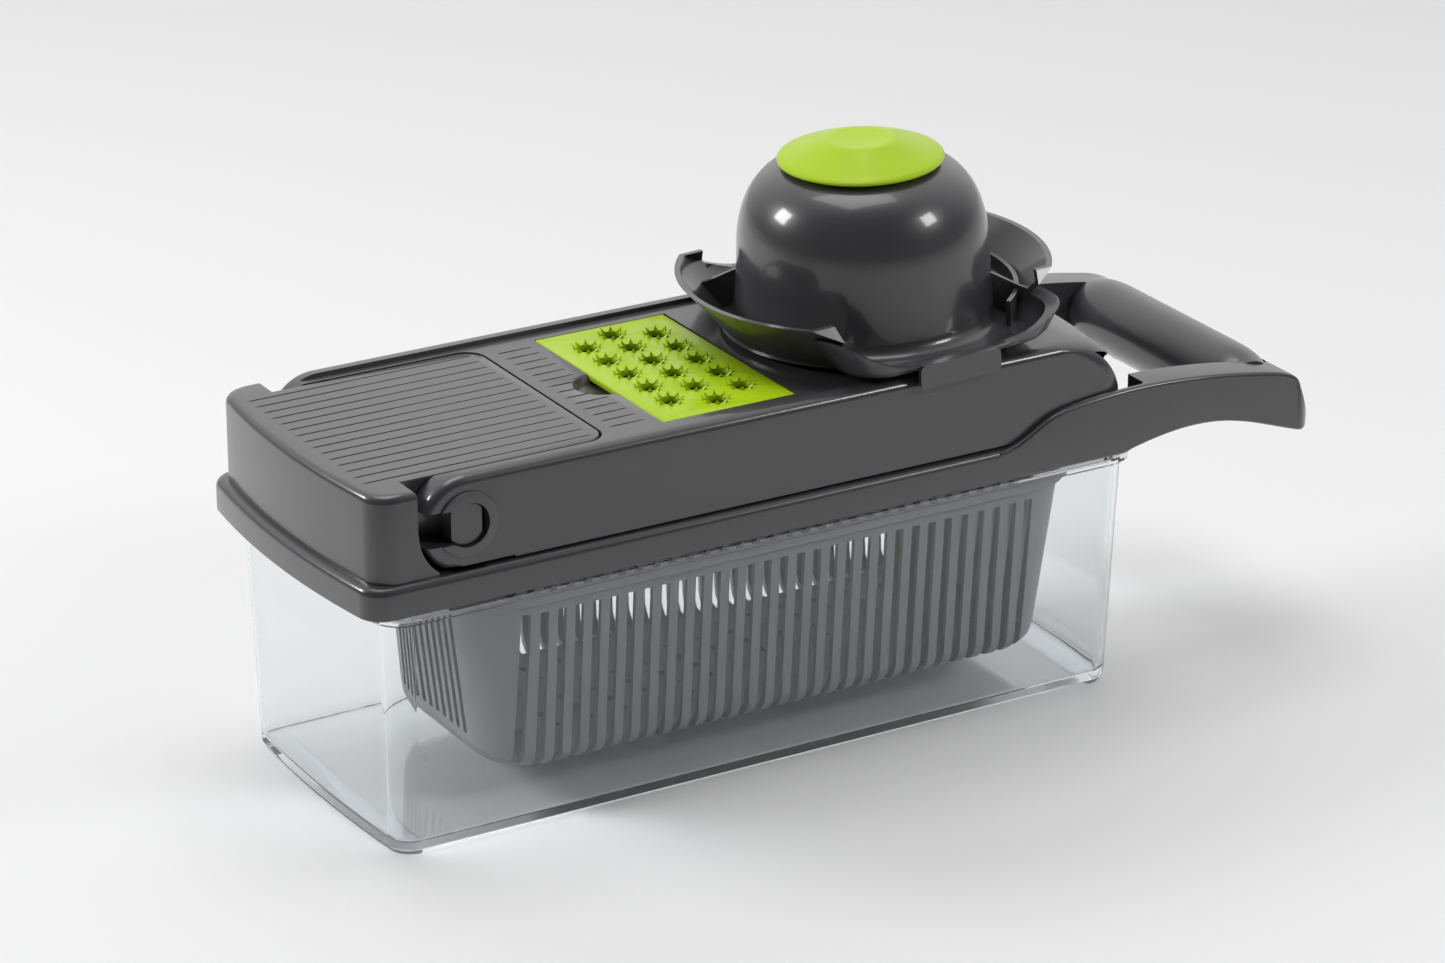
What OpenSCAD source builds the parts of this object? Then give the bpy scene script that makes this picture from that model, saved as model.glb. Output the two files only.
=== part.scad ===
// Mandoline slicer and vegetable chopper: a clear bin with a drain basket, a hinged press head
// with a dicing grid, a grater insert, and a sliding hand guard.
// X runs from the hinge end to the handle end and Z is up. The origin lies on the table, in the
// middle of the whole length. The modules draw with the bin's middle at x = 0 and placed() moves them.

/* [Bin] */
// Length of the bin's base over its bowed ends
bin_l = 287; // [280:1:295]
// Width of the bin's base
bin_w = 109; // [105:1:111]
// Height of the bin to the top of its rim
bin_h = 87; // [80:1:87]
// Wall thickness of the bin
bin_wall = 2; // [1.6:0.1:2.4]

/* [Drain basket] */
// Length of the basket at its rim
basket_l = 237; // [230:1:238]
// Where the middle of the basket's length lies
basket_x = 11.5; // [10:0.5:12]
// Slots along each long side
basket_slots = 31; // [20:1:31]
// Width of one slot
slot_w = 3.2; // [2:0.1:3.4]

/* [Head frame] */
// Length of the head's flange over its bowed ends
flange_l = 308; // [306:1:310]
// Width of the head's flange
flange_w = 120; // [118:1:122]
// Width of the fixed ramp between the lid's arms
ramp_w = 93; // [90:1:94]
// Height of the ramp and the lid's deck above the table
deck_z = 130; // [128:1:131]
// Grooves along the ramp
ramp_grooves = 15; // [5:2:17]

/* [Hinge] */
// Where the hinge axis lies along the bin
hinge_x = -115; // [-116:0.5:-114]
// Height of the hinge axis
hinge_z = 115; // [114.5:0.5:115.5]
// Radius of the flatted hinge stub
hinge_pin_r = 7.6; // [6.5:0.1:7.8]

/* [Handle] */
// Where the handle ends
handle_x = 221.5; // [220:0.5:223]
// Radius of the grip bar
grip_r = 13; // [11:0.5:14]

/* [Lid] */
// Width of the press lid at its foot
lid_w = 114.8; // [113:0.2:115]
// Height of the lid's side rails above the deck
rail_h = 1.5; // [1:0.1:2]

/* [Dicing grid] */
// Blades each way
grid_blades = 6; // [3:1:8]
// Clear opening of the grid
grid_open = 82; // [76:1:84]

/* [Grater insert] */
// Size of the insert along the slicer
insert_l = 51.2; // [48:0.2:52]
// Size of the insert across the slicer
insert_w = 88.4; // [84:0.2:88.6]
// Distance between neighbouring grater holes
hole_pitch = 14.1; // [13:0.1:14.4]

/* [Hand guard] */
// Radius of the dome half way up
dome_r = 43.4; // [41:0.2:43.6]
// Tilt of the parked guard, its handle end raised on the parking step
guard_tilt = 2.2; // [0:0.1:2.4]
// Prongs under the pusher
prong_count = 12; // [6:1:16]
// Radius of the green cap
cap_r = 28.7; // [26:0.1:29]

/* [Hidden] */

DARK = "#5b595b";
GREY = "#6c6c70";
GREEN = "#9ed332";
STEEL = "#c9ccd0";
CLEAR = [0.86, 0.9, 0.93, 0.45];

eps = 0.01;
bin_draft = 2.7;            // how far each wall leans out from base to rim
bin_bow = 2.5;              // bow of the bin's ends
bin_corner = 9;
basket_w = 100;
slots_x = 8.6;              // middle of the row of slots
slots_l = 197;              // from the first slot to the last
floor_holes = 16;
rim_out = 2.6;
rim_t = 2.2;
foot_h = 1.6;               // how far the feet under the two ends stand out
flange_z0 = bin_h + 1.4;
flange_z1 = flange_z0 + 11.2;
flange_x = -2.5;            // middle of the flange's length
flange_bow = 5;
flange_corner = 9;
shell = 2.2;                // wall of the dark mouldings
ramp_x1 = hinge_x + 57.8;   // end of the ramp's tongue
ramp_corner = 8;
cap_half = flange_w / 2 - 2.6;
end_inset = 3.5;            // ledge of the flange round the end block
nose_r = 16.4;              // round nose of the lid about the hinge
block_x1 = -133.2;          // face of the end block that the open lid leans against
chute_x0 = -52;             // opening under the grater
chute_x1 = 20;
chute_half = 44;
insert_x0 = -34.9;
insert_x1 = insert_x0 + insert_l;
grid_x = 73;                // middle of the dicing grid
grid_pitch = grid_open / (grid_blades + 1);
blade_t = 0.5;
blade_z0 = flange_z1 - 1.6;
blade_h = 5;
seat_z = flange_z1 - 3.6;   // ledge that the dicing frame stands on
guard_x = 21.7;             // edge of the guard's foot that it is tilted about
guard_z = deck_z + rail_h + 0.2;
guard_r = 49;               // radius of the guard's foot
tray_h = 19;                // height of the guard's tray at its lobes
lobe_slope = 16 / 19;
wall_t = 2;
lid_x1 = 147;
bar_x = handle_x - 21.5;
tip_r = 8;                  // outer corners of the handle
recess_x1 = 98;             // end of the deck between the rails, under the parked guard
bar_z = 97;
arm_in = ramp_w / 2 + 0.8;  // inner face of the lid's arms

// points of a cubic curve from a to d, with handles b and c
function curve(a, b, c, d, n = 10) =
    [for (i = [0 : n]) let (t = i / n, s = 1 - t)
        s * s * s * a + 3 * s * s * t * b + 3 * s * t * t * c + t * t * t * d];

// points of an arc
function arc(cx, cz, r, a0, a1, n = 8) =
    [for (i = [0 : n]) let (a = a0 + (a1 - a0) * i / n) [cx + r * cos(a), cz + r * sin(a)]];

// draws a side view (x, z) as a slab between two values of y
module side(y0, y1) {
    translate([0, y1, 0]) rotate([90, 0, 0]) linear_extrude(y1 - y0) children();
}

// draws a cross-section (y, z) as a bar between two values of x
module along(x0, x1) {
    translate([x0, 0, 0]) rotate([90, 0, 90]) linear_extrude(x1 - x0) children();
}

// moves a piece from the bin's own frame to the middle of the whole length
module placed() {
    translate([-(handle_x + flange_x - flange_l / 2) / 2, 0, 0]) children();
}

module both_sides() {
    children();
    mirror([0, 1, 0]) children();
}

// rectangle with rounded corners whose two ends bow outwards
module bowed(l, w, bow, r) {
    big = (w * w / 4 + bow * bow) / (2 * bow);
    offset(r, $fn = 48) offset(delta = -r) intersection() {
        square([l, w], center = true);
        translate([big - l / 2, 0]) circle(big, $fn = 720);
        translate([l / 2 - big, 0]) circle(big, $fn = 720);
    }
}

module slice(z, t = eps) {
    translate([0, 0, z]) linear_extrude(t) children();
}

// ---- clear bin ----

module bin_form(inset, z0, z1) {
    hull() {
        slice(z0) bowed(bin_l - 2 * inset, bin_w - 2 * inset, bin_bow, bin_corner - inset / 2);
        slice(z1 - eps) bowed(bin_l - 2 * inset + 2 * bin_draft, bin_w - 2 * inset + 2 * bin_draft,
                              bin_bow, bin_corner - inset / 2);
    }
}

// foot that follows the bowed end
module foot_plan() {
    offset(3, $fn = 32) offset(delta = -3) intersection() {
        bowed(bin_l - 2, bin_w - 2, bin_bow, bin_corner - 1);
        translate([-200, -100]) square([70, 200]);
    }
}

module foot_strip_left() {
    color(CLEAR) placed() slice(0, foot_h) foot_plan();
}

module foot_strip_right() {
    color(CLEAR) placed() mirror([1, 0, 0]) slice(0, foot_h) foot_plan();
}

module container() {
    color(CLEAR) placed() difference() {
        union() {
            bin_form(0, foot_h, bin_h);
            slice(bin_h - rim_t, rim_t)
                bowed(bin_l + 2 * bin_draft + 2 * rim_out, bin_w + 2 * bin_draft + 2 * rim_out,
                      bin_bow, bin_corner + 2);
        }
        bin_form(bin_wall, foot_h + 2.4, bin_h + 0.1);
    }
}

// ---- drain basket ----

module basket_plan(grow_x, grow_y, r) {
    translate([basket_x, 0]) offset(r, $fn = 48) offset(delta = -r)
        square([basket_l + 2 * grow_x, basket_w + 2 * grow_y], center = true);
}

module basket_form(inset, z0, z1) {
    hull() {
        slice(z0) basket_plan(-13.5 - inset, -11 - inset, 16);
        slice(z0 + 2) basket_plan(-10.1 - inset, -7.6 - inset, 19);
        slice(z0 + 7) basket_plan(-7.5 - inset, -5 - inset, 21);
        slice(z1 - eps) basket_plan(-inset, -inset, 22);
    }
}

module slots_along() {
    for (i = [0 : basket_slots - 1])
        translate([slots_x + (i - (basket_slots - 1) / 2) * slots_l / (basket_slots - 1) - slot_w / 2, 0, 0])
            children();
}

module drain_basket() {
    color(GREY) placed() difference() {
        union() {
            basket_form(0, 15, bin_h + 1);
            // band round the top, and the rim that hangs on the bin's long sides
            slice(78, bin_h - 78 + 0.2) basket_plan(1.8, 1.8, 23.8);
            slice(bin_h + 0.1, 1.2) translate([basket_x, 0]) offset(6, $fn = 32)
                square([basket_l - 34, flange_w - 16], center = true);
        }
        basket_form(1.8, 17, bin_h + 2);
        slots_along() translate([0, -70, 19]) cube([slot_w, 140, 55.5]);
        slots_along() both_sides() translate([0, 38, 10]) cube([slot_w, 20, 9.5]);
        // end slots, with a plain strip in the middle
        for (j = [1 : 5], s = [-1, 1])
            translate([-200, s * (j * 6.65 + 2) - slot_w / 2, 24]) cube([400, slot_w, 50.5]);
        // rows of square holes in the floor
        for (i = [0 : floor_holes - 1], j = [-3 : 3])
            translate([slots_x + (i - (floor_holes - 1) / 2) * slots_l / (floor_holes - 1) - 1.7,
                       j * 9 - 1.7, 10])
                cube([3.4, 3.4, 10]);
    }
}

// ---- head frame ----

module flange_plan(inset) {
    translate([flange_x, 0])
        bowed(flange_l - 2 * inset, flange_w - 2 * inset, flange_bow, flange_corner - inset);
}

// side view of the handle arm
module arm_side() {
    polygon(concat(
        curve([88, flange_z1 - 0.4], [100, flange_z1 + 0.2], [103, 107.5], [116, 109.7], 10),
        curve([116, 109.7], [140, 113.8], [172, 112.6], [205, 105.7], 12),
        curve([205, 105.7], [211, 104], [214.6, 102.8], [215.6, 98], 6),
        curve([handle_x, 84.6], [handle_x + 0.2, 82.3], [218.6, 80.8], [216, 81.5], 6),
        curve([216, 81.5], [200, 86.4], [188, 92.8], [170, 92.7], 12),
        curve([170, 92.7], [160, 92.7], [151, 91], [140, flange_z0], 8),
        [[88, flange_z0]]));
}

// plan of the handle loop, whose arms lie along the lid and then widen inwards
module handle_plan() {
    offset(0.9, $fn = 32) offset(delta = -0.9) difference() {
        polygon(concat([[80, -60]],
            arc(handle_x - tip_r, tip_r - 60, tip_r, -90, 0, 8),
            arc(handle_x - tip_r, 60 - tip_r, tip_r, 0, 90, 8),
            [[80, 60]]));
        translate([60, -lid_w / 2 - 0.45]) square([lid_x1 + 2.2 - 60, lid_w + 0.9]);
        translate([60, -47.4]) square([151, 94.8]);
    }
}

// profile of the grip bar, turned about its own axis
module bar_profile(inset) {
    polygon([[0, -50], [grip_r - 2.2 - inset, -50], [grip_r - 0.8 - inset, -43], [grip_r - inset, -34],
             [grip_r - inset, 34], [grip_r - 0.8 - inset, 43], [grip_r - 2.2 - inset, 50], [0, 50]]);
}

module bar(inset) {
    translate([bar_x, 0, bar_z]) rotate([90, 0, 0]) rotate_extrude($fn = 72) bar_profile(inset);
}

module end_block_side() {
    difference() {
        translate([-160, flange_z1 - 1]) square([40, deck_z - flange_z1 + 1]);
        translate([hinge_x, hinge_z]) circle(18, $fn = 96);
        translate([block_x1, hinge_z]) square([30, 30]);
        translate([-126, flange_z1 + 2]) square([30, 30]);
    }
}

module ramp_outer() {
    intersection() {
        slice(flange_z1 - 1, deck_z - flange_z1 + 1)
            translate([flange_x, 0])
                bowed(flange_l - 2 * end_inset, 2 * cap_half, flange_bow, flange_corner);
        union() {
            slice(60, 100) tongue_plan(ramp_w / 2, 0);
            side(-cap_half, cap_half) end_block_side();
        }
    }
}

module ramp_inner() {
    slice(flange_z1 - shell - 1, deck_z - flange_z1 + 1) intersection() {
        translate([flange_x, 0]) bowed(flange_l - 2 * end_inset - 2 * shell,
                                       2 * cap_half - 2 * shell, flange_bow, 7);
        translate([-200, -ramp_w / 2 + shell])
            square([200 + ramp_x1 - shell - 2, ramp_w - 2 * shell]);
    }
}

module hinge_stub() {
    difference() {
        translate([hinge_x, ramp_w / 2 - 1, hinge_z]) rotate([-90, 0, 0])
            cylinder(r = hinge_pin_r, h = 10.6, $fn = 72);
        for (s = [-1, 1]) translate([hinge_x + s * 11.6, 0, hinge_z])
            cube([12, 200, 30], center = true);
    }
}

module flange_shell() {
    difference() {
        hull() {
            slice(flange_z0) flange_plan(0);
            slice(flange_z1 - 2.2) flange_plan(0);
            slice(flange_z1 - 0.8) flange_plan(0.7);
            slice(flange_z1 - eps) flange_plan(2.2);
        }
        slice(flange_z0 - 1, flange_z1 - flange_z0 + 1 - shell) difference() {
            flange_plan(shell);
            translate([chute_x0 - 3, -chute_half - 4]) square([124 - chute_x0 + 3, 2 * chute_half + 8]);
        }
    }
}

// handle loop with the upper half of the grip bar
module handle() {
    difference() {
        union() {
            intersection() {
                side(-60, 60) arm_side();
                slice(70, 60) handle_plan();
            }
            intersection() {
                bar(0);
                translate([bar_x - 30, -48, bar_z]) cube([60, 96, 30]);
            }
        }
        intersection() {
            bar(shell);
            translate([bar_x - 30, -46, bar_z - 1]) cube([60, 92, 30]);
        }
        translate([bar_x - 30, -47.3, 60]) cube([60, 94.6, bar_z - 60]);
    }
    both_sides() translate([bar_x, 30, bar_z]) cylinder(r = 3.6, h = grip_r - 1.2, $fn = 32);
}

// walls that locate the head inside the bin's ends; the left one also stiffens the ramp
module end_lips() {
    translate([137.5, -44, bin_h - 3]) cube([2, 88, 14]);
    translate([-137.2, -ramp_w / 2 + 1, bin_h - 3]) cube([2, ramp_w - 2, deck_z - bin_h + 2]);
}

// troughs in the flange that the lid's two noses turn in
module nose_troughs() {
    both_sides() translate([hinge_x, ramp_w / 2 + 0.1, hinge_z]) rotate([-90, 0, 0])
        cylinder(r = nose_r + 0.6, h = 11.4, $fn = 96);
}

module base_frame() {
    color(DARK) placed() {
        difference() {
            union() {
                flange_shell();
                ramp_outer();
                // pads under the troughs
                both_sides() translate([hinge_x - 9, ramp_w / 2 - 0.5, flange_z1 - 4])
                    cube([18, 12, 2]);
            }
            ramp_inner();
            nose_troughs();
            // chute under the grater, and the seat and window of the dicing grid
            translate([chute_x0, -chute_half, 0]) cube([chute_x1 - chute_x0, 2 * chute_half, 200]);
            translate([grid_x - grid_open / 2, -grid_open / 2, 0]) cube([grid_open, grid_open, 200]);
            translate([grid_x - 46.1, -46.1, seat_z]) cube([92.2, 92.2, 20]);
            for (i = [0 : ramp_grooves - 1])
                translate([-146, (i - (ramp_grooves - 1) / 2) * 6 - 0.45, deck_z - 0.5])
                    cube([85, 0.9, 2]);
        }
        both_sides() hinge_stub();
        handle();
        end_lips();
    }
}

module grip_cover() {
    color(DARK) placed() difference() {
        intersection() {
            bar(0);
            translate([bar_x - 30, -47.2, bar_z - 30]) cube([60, 94.4, 29.9]);
        }
        intersection() {
            bar(shell);
            translate([bar_x - 30, -45, bar_z - 30]) cube([60, 90, 40]);
        }
        both_sides() translate([bar_x, 30, bar_z - 40]) {
            cylinder(r = 1.7, h = 60, $fn = 32);
            cylinder(r = 3.4, h = 40 - grip_r + 1.2, $fn = 32);
        }
    }
}

// cross-recessed screw, head down
module screw(shank) {
    difference() {
        cylinder(r = 3.2, h = 2, $fn = 32);
        for (a = [0, 90]) rotate(a) translate([-1.8, -0.4, -0.1]) cube([3.6, 0.8, 1.1]);
    }
    translate([0, 0, 2 - eps]) cylinder(r = 1.4, h = shank, $fn = 32);
}

module grip_screws() {
    color(STEEL) placed() both_sides() translate([bar_x, 30, bar_z - grip_r - 0.8]) screw(grip_r - 1.25);
}

// ---- dicing grid ----

module blade_places() {
    for (i = [1 : grid_blades]) translate([0, i * grid_pitch - grid_open / 2, 0]) children();
}

module blade_plain(grow) {
    translate([grid_x - grid_open / 2 - 3, -blade_t / 2 - grow, blade_z0])
        cube([grid_open + 6, blade_t + 2 * grow, blade_h]);
}

module quarter() {
    translate([grid_x, 0, 0]) rotate(90) translate([-grid_x, 0, 0]) children();
}

// one half of the square frame round the blades
module grid_ring(z0, z1) {
    difference() {
        translate([grid_x - 46, -46, z0]) cube([92, 92, z1 - z0]);
        translate([grid_x - grid_open / 2, -grid_open / 2, z0 - 1])
            cube([grid_open, grid_open, z1 - z0 + 2]);
        blade_places() blade_plain(0);
        quarter() blade_places() blade_plain(0);
    }
}

module dicing_frame() {
    color(DARK) placed() difference() {
        grid_ring(blade_z0 + blade_h / 2, seat_z + 7.6);
        // finger notch for lifting the grid out
        translate([grid_x + 46, 0, seat_z + 5]) cylinder(r = 5, h = 20, $fn = 32);
    }
}

module dicing_clamp_ring() {
    color(DARK) placed() grid_ring(seat_z + 0.05, blade_z0 + blade_h / 2);
}

module dicing_blades_long() {
    color(STEEL) placed() difference() {
        blade_places() blade_plain(0);
        quarter() blade_places() translate([0, 0, blade_h / 2]) blade_plain(0.05);
    }
}

module dicing_blades_cross() {
    color(STEEL) placed() difference() {
        quarter() blade_places() blade_plain(0);
        blade_places() translate([0, 0, -blade_h / 2]) blade_plain(0.05);
    }
}

// ---- press lid ----

module lid_section() {
    h = lid_w / 2;
    polygon(concat(
        [[-h, flange_z1 + 0.8], [h, flange_z1 + 0.8]],
        arc(h - 4, deck_z + rail_h - 3, 3, 10, 90, 6),
        arc(-h + 4, deck_z + rail_h - 3, 3, 90, 170, 6)));
}

// the deck between the two rails
module lid_recess() {
    h = lid_w / 2 - 7.2;
    along(-160, recess_x1) polygon([[-h, deck_z], [h, deck_z], [h + 1, deck_z + 3], [-h - 1, deck_z + 3]]);
}

module lid_section_inner() {
    h = lid_w / 2 - shell;
    polygon([[-h, flange_z1 - 4], [h, flange_z1 - 4], [h - 0.9, deck_z - 2.4], [-h + 0.9, deck_z - 2.4]]);
}

// side view of the lid: round nose about the hinge, long rail, and the drop at the handle end
module lid_side(inset) {
    polygon(concat(
        arc(hinge_x, hinge_z, nose_r - inset, 90, 244, 20),
        [[-118, flange_z1 + 0.8 - 4 * inset], [lid_x1 - inset, flange_z1 + 0.8 - 4 * inset]],
        curve([lid_x1 - inset, 112], [lid_x1 - 0.6 - inset, 122.5], [138 - inset, 131.4 - inset],
              [120, deck_z + rail_h + 0.4 - inset], 14)));
}

module lid_outer() {
    intersection() {
        along(-140, 160) lid_section();
        side(-70, 70) lid_side(0);
        slice(60, 100) bowed(2 * lid_x1, lid_w, flange_bow, 10);
    }
}

module lid_inner() {
    intersection() {
        along(-100, 160) lid_section_inner();
        side(-70, 70) lid_side(shell);
        slice(60, 100) bowed(2 * (lid_x1 - shell), lid_w - 2 * shell, flange_bow, 8);
    }
}

// plan of the tongue, or of the cut-out round it
module tongue_plan(half, gap) {
    offset(ramp_corner, $fn = 48) offset(delta = -ramp_corner)
        translate([-200, -half]) square([200 + ramp_x1 + gap, 2 * half]);
}

module press_lid() {
    color(DARK) placed() {
        difference() {
            union() {
                lid_outer();
                // raised rings round the hinge bores
                both_sides() translate([hinge_x, lid_w / 2 - 2, hinge_z]) rotate([-90, 0, 0])
                    cylinder(r = hinge_pin_r + 3.2, h = 2.3, $fn = 72);
            }
            difference() {
                lid_inner();
                // the cheeks round the hinge stay solid
                translate([-150, -80, 60]) cube([48, 160, 100]);
                // seat round the grater window, and the boss under the thumb notch
                translate([insert_x0 - 3.5, -insert_w / 2 - 3.5, deck_z - 6])
                    cube([insert_l + 7, insert_w + 7, 10]);
                translate([insert_x0, -3, deck_z - 5.4]) cylinder(r = 13, h = 10, $fn = 48);
            }
            // cut-out for the tongue, wider below so that the lid can turn
            slice(deck_z - 1, 20) tongue_plan(arm_in, 0.6);
            slice(deck_z - 2.5, 1.6) tongue_plan(arm_in, 1.3);
            slice(60, deck_z - 2.4 - 60) tongue_plan(arm_in, 2.6);
            // grater window and its ledge
            translate([insert_x0 - 0.3, -insert_w / 2 - 0.3, deck_z - 2.3])
                cube([insert_l + 0.6, insert_w + 0.6, 10]);
            translate([insert_x0 + 2.5, -insert_w / 2 + 2.5, 60])
                cube([insert_l - 5, insert_w - 5, 100]);
            lid_recess();
            // thumb notch
            translate([insert_x0, -3, deck_z - 3.4]) cylinder(r1 = 8.4, r2 = 10, h = 3.41, $fn = 64);
            // hinge bores, open towards the end of the head
            translate([hinge_x, 0, hinge_z]) rotate([90, 0, 0])
                cylinder(r = hinge_pin_r + 0.08, h = 200, center = true, $fn = 72);
            translate([hinge_x - 30, -100, hinge_z - 5.9]) cube([30, 200, 11.8]);
            // short grooves between the tongue and the grater
            for (i = [-7 : 6]) translate([ramp_x1 + 4, (i + 0.5) * 6 - 0.45, deck_z - 0.5])
                cube([14, 0.9, 2]);
        }
        // cross wall behind the tongue
        difference() {
            translate([ramp_x1 - 4, -lid_w / 2 + 2, hinge_z + 1])
                cube([8.6, lid_w - 4, deck_z - hinge_z - 3]);
            slice(60, 100) tongue_plan(arm_in, 2.6);
        }
        // rails that the pusher pad slides between
        both_sides() along(grid_x - 44, grid_x + 44)
            polygon([[43.3, deck_z - 2.2], [43.3, deck_z - 5.2], [42, deck_z - 5.2],
                     [42, deck_z - 6.6], [45.3, deck_z - 6.6], [45.3, deck_z - 2.2]]);
        // parking step that props the handle end of the guard
        translate([104, -20, deck_z]) cube([5, 40, 4.6]);
    }
}

module pad_places() {
    for (i = [0 : grid_blades], j = [0 : grid_blades])
        translate([grid_x + (i - grid_blades / 2) * grid_pitch, (j - grid_blades / 2) * grid_pitch, 0])
            children();
}

module pusher_pad() {
    nub = grid_pitch - blade_t - 1.8;
    foot_z = blade_z0 + blade_h - 2;
    color(DARK) placed() {
        translate([grid_x - 43, -43, deck_z - 5]) cube([86, 86, 2.5]);
        pad_places() translate([-nub / 2, -nub / 2, foot_z]) cube([nub, nub, deck_z - 4 - foot_z]);
    }
}

// ---- grater insert ----

module hole_places() {
    for (col = [-1 : 1], k = [0 : (col == 0 ? 5 : 4)])
        translate([insert_x0 + insert_l / 2 + col * (hole_pitch - 0.3) - 0.3,
                   (k - (col == 0 ? 2.5 : 2)) * hole_pitch, 0]) children();
}

// ring of eight flared teeth round one grater hole
module crown() {
    translate([0, 0, deck_z - 0.3]) difference() {
        cylinder(r1 = 4.1, r2 = 5.4, h = 2, $fn = 32);
        translate([0, 0, -0.4]) cylinder(r1 = 2.9, r2 = 4.9, h = 2.8, $fn = 32);
        for (a = [0 : 45 : 135]) rotate(a) rotate([90, 0, 90])
            linear_extrude(14, center = true) polygon([[0, 0.5], [1.9, 2.4], [-1.9, 2.4]]);
    }
}

module grater_insert() {
    edge_r = 1.1;
    color(GREEN) placed() {
        difference() {
            union() {
                translate([insert_x0, -insert_w / 2, deck_z - 2 * edge_r])
                    cube([insert_l - edge_r, insert_w, 2 * edge_r]);
                // round edge on which the insert is tipped out
                translate([insert_x1 - edge_r, insert_w / 2, deck_z - edge_r]) rotate([90, 0, 0])
                    cylinder(r = edge_r, h = insert_w, $fn = 32);
            }
            hole_places() translate([0, 0, deck_z - 5]) cylinder(r = 3.4, h = 10, $fn = 32);
        }
        hole_places() crown();
    }
}

// ---- hand guard and pusher ----

module guard_frame() {
    placed() translate([guard_x, 0, guard_z]) rotate([0, -guard_tilt, 0])
        translate([guard_r, 0, 0]) children();
}

// the tray's two lobes towards the ends of the slicer, whose edges fall away at the sides
module lobes(inset, z0, z1) {
    for (s = [-1, 1]) intersection() {
        h = (s < 0 ? 44.5 : 40) - inset;
        translate([0, 0, z0]) cylinder(r1 = guard_r + z0 * lobe_slope - inset,
                                       r2 = guard_r + z1 * lobe_slope - inset, h = z1 - z0, $fn = 120);
        along(s < 0 ? -80 : 0, s < 0 ? 0 : 80)
            polygon([[-h - 8, -1], [h + 8, -1], [h + 8, 7], [h, tray_h], [h, 50],
                     [-h, 50], [-h, tray_h], [-h - 8, 7]]);
    }
}

module wing_plan(half_l, half_w, r) {
    translate([3, 0]) offset(r, $fn = 48) square([2 * (half_l - r), 2 * (half_w - r)], center = true);
}

// the part of the tray that spreads over the lid's rails
module wings(inset, z0, lift) {
    hull() {
        slice(z0) wing_plan(37 - inset, 54.4 - inset, 14 - inset);
        slice(z0 + 4.5) wing_plan(41 - inset, 60.2 - inset, 16 - inset);
        slice(tray_h - eps, eps + lift) wing_plan(51 - inset, 61 - inset, 18 - inset);
    }
}

// side view of what is cut off the wings, which leaves their edges low in the middle
module wing_edge() {
    polygon(concat([[-70, 40], [-70, 16]],
        curve([-50, 16], [-37, 15.6], [-31, 5], [-15, 3.8], 12),
        curve([16, 3.8], [28, 4.2], [33, 11], [54, 11.6], 12),
        [[70, 11.6], [70, 40]]));
}

// outline of the dome: a slight cone that turns into a round shoulder
module dome_profile(inset) {
    r = dome_r - inset;
    top = 56.6 - inset;
    foot = inset > 0 ? -1 : 0;
    polygon(concat([[0, foot], [r + 1.6, foot]],
        curve([r, 30], [r - 1.4, 41.5], [r - 8.9, top - 1.6], [r - 19.4, top], 14),
        [[0, top]]));
}

module hand_guard() {
    color(DARK) guard_frame() {
        difference() {
            union() {
                difference() {
                    union() {
                        lobes(0, 0, tray_h);
                        difference() {
                            wings(0, 0, 0);
                            side(-80, 80) wing_edge();
                        }
                    }
                    lobes(wall_t, wall_t, 40);
                    wings(wall_t, wall_t, 40);
                }
                dome();
                tray_ribs();
            }
            rotate_extrude($fn = 96) dome_profile(wall_t);
            translate([0, 0, 40]) cylinder(r = 9.4, h = 30, $fn = 48);
        }
        // guide tube of the pusher stem
        difference() {
            translate([0, 0, 47]) cylinder(r = 11.6, h = 9, $fn = 48);
            translate([0, 0, 40]) cylinder(r = 9.4, h = 30, $fn = 48);
        }
        rail_hooks();
    }
}

// dome with the fillet that joins it to the tray's floor
module dome() {
    rotate_extrude($fn = 96) polygon(concat([[0, 0], [dome_r + 6.6, 0], [dome_r + 6.6, wall_t]],
        [for (a = [0 : 15 : 90]) [dome_r + 6.6 - 5 * sin(a), wall_t + 5 - 5 * cos(a)]], [[0, 8]]));
    rotate_extrude($fn = 96) dome_profile(0);
}

module tray_ribs() {
    // curved rib in the handle-end lobe
    intersection() {
        difference() {
            cylinder(r = 53.4, h = 11, $fn = 96);
            translate([0, 0, -1]) cylinder(r = 51.8, h = 20, $fn = 96);
            translate([-170, -100, -1]) cube([200, 200, 30]);
        }
        lobes(0.6, 0, tray_h);
    }
    for (a = [38, 142, 218, 322]) rotate(a) side(-0.8, 0.8)
        polygon([[40, 0.5], [48.6, 0.5], [57, 11], [54, 12], [43, 17], [40, 17]]);
}

// lips that run outside the lid's rails
module rail_hooks() {
    both_sides() translate([-15, 58.4, -4.6]) cube([32, 1.8, 8.4]);
}

module pusher_stem() {
    color(GREY) guard_frame() difference() {
        translate([0, 0, 15.6]) cylinder(r = 9.1, h = 41.6, $fn = 64);
        translate([0, 0, 30]) cylinder(r = 7, h = 30, $fn = 48);
        translate([0, 0, 12]) cylinder(r = 1.5, h = 16, $fn = 32);
    }
}

module prong_places() {
    for (k = [0 : prong_count - 1]) rotate(k * 360 / prong_count) translate([28, 0, 0]) children();
    for (k = [0 : 5]) rotate(k * 60 + 15) translate([16, 0, 0]) children();
}

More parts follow.
